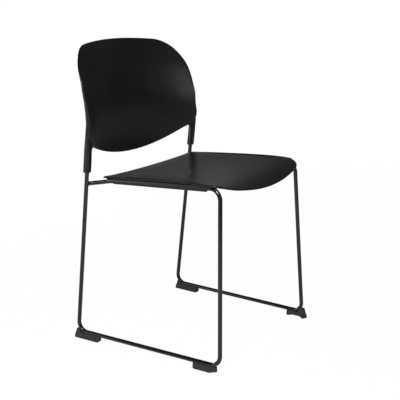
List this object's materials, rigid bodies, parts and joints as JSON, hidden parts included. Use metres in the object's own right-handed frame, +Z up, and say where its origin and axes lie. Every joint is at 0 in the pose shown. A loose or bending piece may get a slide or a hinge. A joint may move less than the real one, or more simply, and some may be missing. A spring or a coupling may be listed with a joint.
{
  "type": "choir chair",
  "caption": "Stacking side chair: moulded seat and rounded backrest on a bent steel rod frame with floor runners and plastic glides.",
  "frame": {"origin": "on the floor, under the middle of the chair's width and depth", "axes": "+Z up, -Y the way the sitter faces, +X the sitter's left"},
  "size_m": [0.4948, 0.5108, 0.7933],
  "materials": {
    "frame_steel": "black powder coat, satin",
    "shell_plastic": "black moulded plastic, fine grain",
    "glide_plastic": "black moulded plastic",
    "screw_steel": "black coated steel"
  },
  "bodies": {
    "root": {"side_frame_left": "frame_steel", "side_frame_right": "frame_steel", "front_cross_rod": "frame_steel", "rear_cross_rod": "frame_steel", "seat_tab_front_left": "frame_steel", "seat_tab_front_right": "frame_steel", "seat_tab_rear_left": "frame_steel", "seat_tab_rear_right": "frame_steel", "seat_shell": "shell_plastic", "backrest_shell": "shell_plastic", "foot_front_left": "glide_plastic", "foot_front_right": "glide_plastic", "foot_rear_left": "glide_plastic", "foot_rear_right": "glide_plastic", "seat_screws": "screw_steel", "backrest_screws": "screw_steel"}
  },
  "joints": []
}
